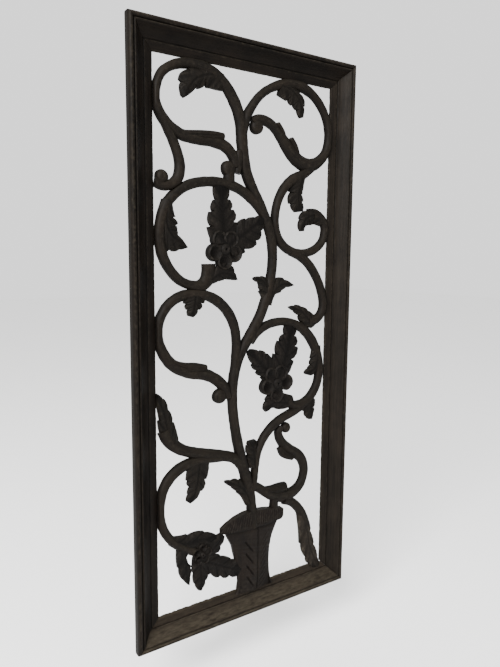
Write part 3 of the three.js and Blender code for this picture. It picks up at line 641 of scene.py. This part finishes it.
LEAVES = [
    # top left, curling in from the rail
    dict(
        spine=[[-50, 402], [-74, 399], [-97, 389], [-115, 363]],
        left=[[0, 20], [0.4, 15], [0.66, 12], [1, 1]],
        right=[[0, 3], [0.35, 12], [0.6, 21], [0.8, 17], [1, 3]],
    ),
    # top right, the same the other way
    dict(
        spine=[[56, 406], [78, 399], [93, 385], [100, 362]],
        left=[[0, 3], [0.5, 13.5], [0.76, 10], [1, 2]],
        right=[[0, 15], [0.34, 16], [0.6, 14], [0.8, 8], [1, 2]],
    ),
    # under the top right loop
    dict(
        spine=[[104, 272], [97, 252], [94, 234], [97, 212]],
        left=[[0, 6], [0.5, 9], [0.74, 12], [1, 9]],
        right=[[0, 12], [0.52, 17], [0.76, 16], [1, 6]],
    ),
    # the curled end of the right-hand loop
    dict(
        spine=[[150, 200], [132, 207], [113, 203], [105, 190], [106, 181]],
        left=[[0, 10], [0.36, 14], [0.56, 14], [0.8, 9], [1, 2]],
        right=[[0, 8], [0.5, 12], [0.74, 9], [1, 3]],
    ),
    # the hook at the foot of the right side's upper stem
    dict(
        spine=[[134, 24], [119, 34], [104, 47], [81, 55]],
        left=[[0, 8], [0.36, 14], [0.56, 8], [0.8, 4], [1, 0]],
        right=[[0, 12], [0.36, 13], [0.6, 9], [0.8, 7], [1, 0]],
    ),
    # in the ring on the left
    dict(
        spine=[[-141, 218], [-145, 194], [-139, 172], [-111, 151]],
        left=[[0, 6], [0.3, 16], [0.5, 18], [0.72, 9], [1, 1]],
        right=[[0, 8], [0.5, 12], [0.74, 21], [0.88, 12], [1, 1]],
    ),
    # under the top of the heart
    dict(
        spine=[[-98, 84], [-99, 71], [-101, 58], [-104, 48]],
        left=[[0, 18], [0.4, 17], [0.66, 11], [1, 3]],
        right=[[0, 18], [0.5, 15], [0.76, 9.5], [1, 4]],
    ),
    # the pair on the trunk
    dict(
        spine=[[38, 66], [34, 86], [25, 99], [9, 104]],
        left=[[0, 8], [0.45, 14], [0.8, 5], [1, 1]],
        right=[[0, 6], [0.5, 10], [0.75, 7], [1, 1]],
    ),
    dict(
        spine=[[40, 60], [46, 80], [62, 93], [87, 92]],
        left=[[0, 6], [0.5, 15], [0.72, 9], [1, 1]],
        right=[[0, 2], [0.3, 6], [0.55, 11.5], [0.78, 6], [1, 1]],
    ),
    # in the ring on the right
    dict(
        spine=[[144, -14], [142, -38], [135, -54], [118, -61]],
        left=[[0, 6], [0.6, 10], [0.84, 8], [1, 1]],
        right=[[0, 8], [0.42, 12], [0.64, 9], [0.84, 6], [1, 1]],
    ),
    # under the lower ring
    dict(
        spine=[[131, -108], [130, -119], [130, -131], [132, -143]],
        left=[[0, 10], [0.4, 10], [0.72, 9], [1, 3]],
        right=[[0, 16], [0.34, 17], [0.58, 12], [0.84, 8], [1, 4]],
    ),
    # the big leaf on the left side
    dict(
        spine=[[-136, -142], [-147, -116], [-152, -92], [-163, -64]],
        left=[[0, 12], [0.5, 10], [1, 1]],
        right=[[0, 10], [0.36, 14], [0.62, 10], [0.84, 9], [1, 2]],
    ),
    # hanging in the lower left loop
    dict(
        spine=[[-91, -178], [-95, -203], [-99, -224], [-110, -242]],
        left=[[0, 18], [0.44, 18], [0.68, 14], [1, 4]],
        right=[[0, 16], [0.46, 17], [0.62, 12], [0.85, 8], [1, 3]],
    ),
    # on the trunk above the basket
    dict(
        spine=[[4, -270], [-4, -249], [-18, -234], [-43, -223]],
        left=[[0, 6], [0.52, 11], [0.76, 7], [1, 1]],
        right=[[0, 8], [0.4, 11], [0.64, 10], [0.82, 5], [1, 1]],
    ),
    # the bud between the trunk and the stem beside it
    dict(
        spine=[[12, -208], [11, -190], [9, -175], [8, -162]],
        left=[[0, 9], [0.5, 12], [0.85, 10], [1, 6]],
        right=[[0, 4], [0.5, 8], [0.85, 11], [1, 6]],
    ),
]
leaf_shade = stained(
    "leaf_stain",
    bump=0.4,
    Dark=(0.0028, 0.0023, 0.0018, 1),
    Warm=(0.0061, 0.0046, 0.0033, 1),
    Rubbed=(0.019, 0.016, 0.012, 1),
    Rub=0.85,
    Dust=(0.017, 0.015, 0.012, 1),
    Dusty=0.28,
    Streaks=0.45,
)
leaves = [leaf(**shape, seed=30 + i) for i, shape in enumerate(LEAVES)]
skinned("leaves", leaves, leaf_shade, "carved_wood", "vine_carving")

# The lowest leaf runs down to the corner and laps over the rail, where dust has bleached it pale.
tail = leaf(
    spine=[[116, -312], [126, -345], [132, -375], [153, -424]],
    left=[[0, 8], [0.34, 11], [0.6, 13], [0.85, 10], [1, 6]],
    right=[[0, 9], [0.48, 16], [0.72, 13], [0.84, 14], [1, 8]],
    seed=61,
    lap=True,
)
tail_shade = stained(
    "dusty_leaf_stain",
    bump=0.4,
    Dark=(0.005, 0.0041, 0.0033, 1),
    Warm=(0.013, 0.01, 0.0072, 1),
    Rubbed=(0.05, 0.042, 0.032, 1),
    Rub=1.0,
    Dust=(0.048, 0.041, 0.031, 1),
    Dusty=1.0,
    Streaks=0.5,
)
skinned("tail_leaf", [tail], tail_shade, "carved_wood", "vine_carving")

# ---- The flowers ----
# Two open flowers and a small drooping one, carved in the same board: five cupped petals round a button
# with a dimple, each flower on big channelled leaves that tie it to its vine, with short leaves below.
PETAL = 12
PETAL_FLOOR = 2.6  # over the wall
CUP = 2.2  # how deep a petal is hollowed
BUTTON = 13.6
BUTTON_EDGE = 8.5
DIMPLE = 1.3
# Places and sizes as shares of the flower's radius.
PETAL_AT = 0.60
PETAL_SIZE = 0.45
BUTTON_SIZE = 0.30


def petal(x, y, size, angle, seed):
    """A cupped petal on rings about its own middle: a rolled rim stands round a hollow that opens towards
    the flower's middle, and its outline is a round, fuller at the far end."""
    share = np.array([1, 1, 0.985, 0.95, 0.9, 0.82, 0.72, 0.6, 0.47, 0.34, 0.2, 0.1, 0.01])[:, None]
    around = np.linspace(0, 2 * np.pi, 44, endpoint=False)
    far = 0.5 + 0.5 * np.cos(around)
    rim = hump(share, 0.80, 0.17) * (0.35 + 0.65 * far)
    shaded_hollow = hump(share, 0, 0.52)
    out = WALL + PETAL_FLOOR + (PETAL - WALL - PETAL_FLOOR) * rim - CUP * shaded_hollow + 1.6 * (1 - far) * share
    out = out + 0.3 * np.cos(9 * around) * share**2 * (share < 0.9)
    out = out + 0.3 * wander(around * 5, seed, 21) * share
    out[1] = WALL + 1.5
    out[0] = BACK
    out_x = size * share * np.cos(around) * (1 + 0.05 * np.cos(3 * around))
    out_y = size * share * np.sin(around) * (1 + 0.10 * np.cos(around))
    cos, sin = np.cos(angle), np.sin(angle)
    px, py = x + out_x * cos - out_y * sin, y + out_x * sin + out_y * cos
    grain = np.stack([py + 13 * seed, px, out], -1) * MM
    # Painted shade in the petal's cup and on its sawn edge.
    painted_cup_shadow = 0.85 * shaded_hollow + 0.8 * (share > 0.97)
    return {"at": placed(px, py, out), "grain": grain, "crest": rim, "shaded_hollow": painted_cup_shadow}


def button(x, y, radius, seed):
    """The flower's middle: a ring-shaped swelling round a dimple, on a grid of rings about it."""
    share = np.array([1, 1, 0.97, 0.9, 0.8, 0.68, 0.55, 0.42, 0.3, 0.2, 0.1, 0.01])[:, None]
    around = np.linspace(0, 2 * np.pi, 36, endpoint=False)
    out = BUTTON_EDGE + (BUTTON - BUTTON_EDGE) * np.cos((share - 0.42) * 1.9) ** 1.2
    out = out - DIMPLE * hump(share, 0, 0.2) + 0.2 * np.cos(7 * around) * share * (1 - share)
    out[0] = BACK
    px, py = x + radius * share * np.cos(around), y + radius * share * np.sin(around)
    grain = np.stack([py + 13 * seed, px, out], -1) * MM
    crest = hump(share, 0.45, 0.2) + 0 * around
    # Painted shade in the dimple and on the sawn edge.
    shaded_hollow = hump(share, 0, 0.16) + 1.0 * (share > 0.93) + 0 * around
    return {"at": placed(px, py, out), "grain": grain, "crest": crest, "shaded_hollow": shaded_hollow}


def flower(x, y, radius, angles, seed):
    """The button, and a petal at each angle about it."""
    skins = [button(x, y, BUTTON_SIZE * radius, seed)]
    for i, angle in enumerate(np.radians(angles)):
        far = PETAL_AT * radius
        px, py = x + far * np.cos(angle), y + far * np.sin(angle)
        skins.append(petal(px, py, PETAL_SIZE * radius, angle, seed + i))
    return skins


FLOWERS = [
    dict(x=-46, y=149, radius=30, angles=(56, 124, 196, 268, 340), seed=1),
    dict(x=56, y=-71, radius=31, angles=(0, 68, 128, 192, 268), seed=2),
    dict(x=-88, y=-332, radius=17, angles=(12, 84, 156, 228, 300), seed=3),
]
# The leaves behind the flowers, with how deep and how broad the channel along each one is.
FLOWER_LEAVES = [
    # upper flower: one leaf up to the ring, one out to the trunk, and the cup
    dict(
        spine=[[-47, 158], [-49, 185], [-51, 212], [-53, 244]],
        left=[[0, 18], [0.3, 26], [0.56, 21], [0.76, 12], [1, 11]],
        right=[[0, 20], [0.36, 26], [0.58, 21], [0.76, 15], [1, 13]],
    ),
    dict(
        spine=[[-42, 154], [-24, 165], [-4, 178], [26, 199]],
        left=[[0, 14], [0.4, 21], [0.64, 18], [0.84, 10], [1, 5]],
        right=[[0, 20], [0.3, 25], [0.6, 26], [0.8, 18], [1, 5]],
    ),
    dict(
        spine=[[-70, 104], [-60, 110], [-45, 113], [-24, 103]],
        left=[[0, 6], [0.6, 16], [0.8, 10], [1, 1]],
        right=[[0, 8], [0.5, 11], [0.8, 6], [1, 1]],
    ),
    # lower flower, the same the other way
    dict(
        spine=[[58, -62], [68, -38], [77, -12], [84, 24]],
        left=[[0, 14], [0.4, 22], [0.68, 20], [0.82, 11], [1, 10]],
        right=[[0, 16], [0.4, 22], [0.64, 23], [0.82, 15], [1, 11]],
    ),
    dict(
        spine=[[50, -62], [36, -48], [21, -33], [1, -13]],
        left=[[0, 14], [0.28, 15], [0.48, 15], [0.7, 12], [1, 3]],
        right=[[0, 18], [0.55, 21], [0.76, 16], [1, 4]],
    ),
    dict(
        spine=[[90, -107], [70, -106], [50, -103], [33, -115]],
        left=[[0, 8], [0.5, 12], [0.78, 8], [1, 3]],
        right=[[0, 10], [0.5, 18], [0.8, 12], [1, 3]],
    ),
    # the drooping flower at the bottom left: hood and four leaves
    dict(
        spine=[[-142, -298], [-118, -306], [-92, -307], [-62, -313]],
        left=[[0, 6], [0.36, 12], [0.72, 11], [1, 5]],
        right=[[0, 6], [0.5, 19], [0.8, 15], [1, 2]],
    ),
    dict(
        spine=[[-84, -338], [-72, -330], [-60, -322], [-47, -312]],
        left=[[0, 10], [0.5, 14], [1, 4]],
        right=[[0, 12], [0.4, 17], [0.66, 13], [1, 4]],
    ),
    dict(
        spine=[[-90, -342], [-66, -354], [-42, -367], [-14, -380]],
        left=[[0, 8], [0.4, 14], [0.7, 13], [1, 12]],
        right=[[0, 12], [0.34, 20], [0.58, 20], [0.78, 17], [1, 12]],
    ),
    dict(
        spine=[[-92, -338], [-91, -356], [-90, -374], [-90, -393]],
        left=[[0, 10], [0.5, 16], [0.74, 12], [1, 3]],
        right=[[0, 10], [0.4, 12], [0.76, 10], [1, 3]],
    ),
    dict(
        spine=[[-116, -314], [-117, -338], [-116, -356], [-111, -377]],
        left=[[0, 9], [0.26, 2], [0.44, 5], [0.55, 11], [0.8, 7], [1, 1]],
        right=[[0, 14], [0.48, 12], [0.8, 7], [1, 1]],
    ),
]
CHANNELS = [(2.2, 0.36), (1.6, 0.2), (0.9, 0.12), (1.8, 0.26), (1.8, 0.24), (0.9, 0.12)]
CHANNELS += [(1.4, 0.22), (1.1, 0.11), (1.1, 0.11), (1.1, 0.11), (1.1, 0.11)]
petals = [skin for shape in FLOWERS for skin in flower(**shape)]
backing = [
    leaf(**shape, seed=50 + i, rib=RIB - 0.4, edge=EDGE + 0.4, trough=trough, broad=broad)
    for i, (shape, (trough, broad)) in enumerate(zip(FLOWER_LEAVES, CHANNELS))
]
flower_shade = stained(
    "flower_stain",
    bump=0.4,
    Dark=(0.0023, 0.0019, 0.0016, 1),
    Warm=(0.0052, 0.004, 0.0031, 1),
    Rubbed=(0.018, 0.015, 0.012, 1),
    Rub=0.85,
    Dust=(0.015, 0.013, 0.011, 1),
    Dusty=0.25,
    Streaks=0.40,
)
skinned("flowers", petals + backing, flower_shade, "carved_wood", "vine_carving")

# ---- The basket ----
# The basket that the vines grow out of, the thickest part of the board. Its rim is a band of gouged ribs.
# Its body swells either side of a V-cut line, with slashes on the left and finer, worn ones on the right.
BASKET_X = 12.5
BODY = [
    # [height on the panel, out to the left, out to the right]
    [-BOARD[1] - LAP, 36, 40],
    [-BOARD[1], 32, 36],
    [-402, 29.5, 33],
    [-380, 31.5, 31.5],
    [-355, 38, 33],
    [-335, 43, 38],
    [-318, 52, 46],
    [-306, 57, 55],
]
RIM_LINE = [
    # [across, top of the rim, bottom of the rim]
    [-64, -301, -309],
    [-54, -294.5, -312],
    [-38, -287, -312],
    [-20, -282.5, -311],
    [0, -281.5, -310],
    [20, -284, -311],
    [42, -288, -312],
    [58, -291, -312],
    [62, -295, -308],
]
SIDE_OUT = 7  # the basket's thickness at its sides
RIDGE_OUT = 13.5
RIM_OUT = 14
RIBS = 27
UNDER_RIM = -312
MIDDLE_AT = 4.5  # the V-cut line, right of the body's centre
FOOT_UP = -398  # below here the body flares
SLASHES = 4
WORN_SLASHES = 9


def slash_cut(x, up, start, run, ends, depth, half_width):
    """A V-shaped cut along a slanting run: full depth on the line and none at its half width, fading in
    over the first of the two end lengths and out over the second."""
    length = np.hypot(*run)
    gone = ((x - start[0]) * run[0] + (up - start[1]) * run[1]) / length
    off = ((x - start[0]) * run[1] - (up - start[1]) * run[0]) / length
    fade = np.clip(gone / ends[0], 0, 1) * np.clip((length - gone) / ends[1], 0, 1)
    return depth * fade * np.clip(1 - np.abs(off) / half_width, 0, 1)


def basket_body():
    """The body on a grid of height and width: its section is a power of the cosine from side to side, less
    the middle line and the slashes, each a V about a slanting line that fades at both ends."""
    stations = np.array(BODY, float)
    up = np.linspace(stations[0, 0], stations[-1, 0], 170)[:, None]
    left = np.interp(up, stations[:, 0], stations[:, 1])
    right = np.interp(up, stations[:, 0], stations[:, 2])
    across = np.linspace(-1, 1, 141)
    side = np.concatenate([[1, -1], across])
    x = side * np.where(side > 0, right, left)
    out = SIDE_OUT + (RIDGE_OUT - SIDE_OUT) * np.cos(side * np.pi / 2) ** 0.75
    middle = x - MIDDLE_AT
    line = 1.5 * hump(middle, 0, 0.9) * (up < UNDER_RIM)
    slash = np.zeros_like(out * up)
    for i in range(SLASHES):
        start, run = (-22 + 1.5 * i, -330 - 21 * i), (19 - i, -25)
        slash = np.maximum(slash, slash_cut(x, up, start, run, (5, 6), 1.9, 1.9))
    for i in range(WORN_SLASHES):
        start, run = (27 - 0.7 * i, -322 - 10.5 * i), (-17, -17)
        slash = np.maximum(slash, slash_cut(x, up, start, run, (4, 5), 0.75, 0.9))
    band = 1.2 * hump(up, -313, 2.2)
    knife = 0.22 * wander(up * 1.3 + 9 * side, 81, 37)
    out = out - line - slash - band + knife - 0.6 * np.abs(side) ** 14
    out[:, :2] = BACK
    y = np.clip(up, -BOARD[1] - LAP, None) + 0 * x
    out = np.where(y < -BOARD[1], np.maximum(out, LAP_AT), out)
    flare = np.clip((FOOT_UP - y) / 26, 0, 1)
    out = out - flare * 3.4 * (out > LAP_AT + 3)
    at = placed(BASKET_X + x, y, out)
    # The crest is rubbed wear over the swelling, and on the foot's left side, which faces the lamp, painted
    # light.
    crest = 0.4 * np.cos(side * 1.4) + 1.6 * np.clip((-400 - y) / 24, 0, 1) * (side < -0.1)
    # Painted shade in the V-cut line, the slashes and the groove under the rim.
    shaded_hollow = 0.9 * np.clip(slash / 1.2, 0, 1) + 0.9 * line / 1.5 + 0.6 * band / 1.2 + (side == side[0]) * 0
    grain = np.stack([y, x + 300, out], -1) * MM
    return {"at": at, "grain": grain, "crest": crest, "shaded_hollow": shaded_hollow}


def basket_rim():
    """The rim, carried from its left end to its right: a band whose face is a row of ribs, the root of a
    sine along it, that lean outwards to the left and die out under its rounded top."""
    stations = np.array(RIM_LINE, float)
    across = np.linspace(stations[0, 0], stations[-1, 0], 520)[:, None]
    top = np.interp(across, stations[:, 0], stations[:, 1])
    bottom = np.interp(across, stations[:, 0], stations[:, 2])
    down = np.linspace(0, 1, 17)
    face = np.concatenate([[1, 0], down])
    up = top + (bottom - top) * face
    spread = (across + 64) / 126 + 0.022 * (face - 0.5) * (across < 0)
    rib = np.abs(np.sin(np.pi * RIBS * spread)) ** 0.6
    shown = np.clip(face / 0.18, 0, 1) * np.clip((1 - face) / 0.10, 0, 1)
    swell = RIM_OUT - 6.5 * (across / 66) ** 2
    out = swell - 1.5 * np.abs(2 * face - 0.9) ** 4 - 1.5 * (1 - rib) * shown
    out[:, :2] = BACK
    lean = 0.9 * (face - 0.5) * np.clip(-across / 40, 0, 1.2) * -6
    x = BASKET_X + across + lean * shown
    grain = np.stack(np.broadcast_arrays(up, x + 400, out), -1) * MM
    crest = rib * shown + 0.5 * (face < 0.1)
    # Painted shade between the ribs and along the foot of the rim.
    shaded_hollow = (1 - rib) * shown + np.clip((face - 0.92) / 0.08, 0, 1)
    return {"at": placed(x, up, out), "grain": grain, "crest": crest, "shaded_hollow": shaded_hollow}


basket_shade = stained(
    "basket_stain",
    bump=0.4,
    Dark=(0.0029, 0.0022, 0.0018, 1),
    Warm=(0.007, 0.0048, 0.0036, 1),
    Rubbed=(0.02, 0.017, 0.013, 1),
    Rub=0.5,
    Dust=(0.018, 0.016, 0.012, 1),
    Dusty=0.25,
    Streaks=0.5,
)
skinned("basket", [basket_body(), basket_rim()], basket_shade, "carved_wood", "vine_carving")

# ---- The studio ----
# A pale floor a little below the panel, a pale surround, a large soft light up on the left and a weak one
# in front, and the camera at eye level to the panel's left.
FLOOR_DROP = 0.10
FLOOR_REACH = 9.0
PALE = 0.96
floor_mesh = bpy.data.meshes.new("floor")
floor_up = low[2] * MM - FLOOR_DROP
floor_corners = [
    (across * FLOOR_REACH, along * FLOOR_REACH, floor_up)
    for across, along in ((-1, -1), (1, -1), (1, 1), (-1, 1))
]
floor_mesh.from_pydata(floor_corners, [], [(0, 1, 2, 3)])
floor = bpy.data.objects.new("floor", floor_mesh)
bpy.context.scene.collection.objects.link(floor)
floor_shade = bpy.data.materials.new("floor")
floor_shade.use_nodes = True
floor_shader = floor_shade.node_tree.nodes["Principled BSDF"]
floor_shader.inputs["Base Color"].default_value = (PALE, PALE, PALE - 0.005, 1)
floor_shader.inputs["Roughness"].default_value = 0.9
floor_mesh.materials.append(floor_shade)

world = bpy.data.worlds.new("surround")
bpy.context.scene.world = world
world.use_nodes = True
surround = world.node_tree.nodes["Background"]
surround.inputs["Color"].default_value = (1, 1, 1, 1)
surround.inputs["Strength"].default_value = 1.5


def soft_light(name, place, target, size, power):
    """A square light at a place, turned to face a target."""
    light = bpy.data.lights.new(name, "AREA")
    light.size = size
    light.energy = power
    thing = bpy.data.objects.new(name, light)
    away = (Vector(place) - Vector(target)).normalized()
    thing.matrix_world = Matrix.Translation(place) @ away.to_track_quat("Z", "Y").to_matrix().to_4x4()
    bpy.context.scene.collection.objects.link(thing)


middle = (0, 0, CENTRE_UP * MM)
soft_light("key", place=(-1.9, -1.3, 1.0), target=middle, size=1.3, power=235)
soft_light("fill", place=(0.9, -2.4, 0.3), target=middle, size=2.0, power=12)

camera = bpy.data.cameras.new("camera")
camera.lens = 32.31
camera.sensor_width = 36
seen_from = bpy.data.objects.new("camera", camera)
right = (0.8310, -0.5562, 0.0081)
upward = (0.0646, 0.1111, 0.9917)
back = (-0.5525, -0.8236, 0.1283)
seat = Matrix((right, upward, back)).transposed().to_4x4()
seat.translation = (-0.5283, -0.7965, -0.2983)
seen_from.matrix_world = seat
bpy.context.scene.collection.objects.link(seen_from)
bpy.context.scene.camera = seen_from
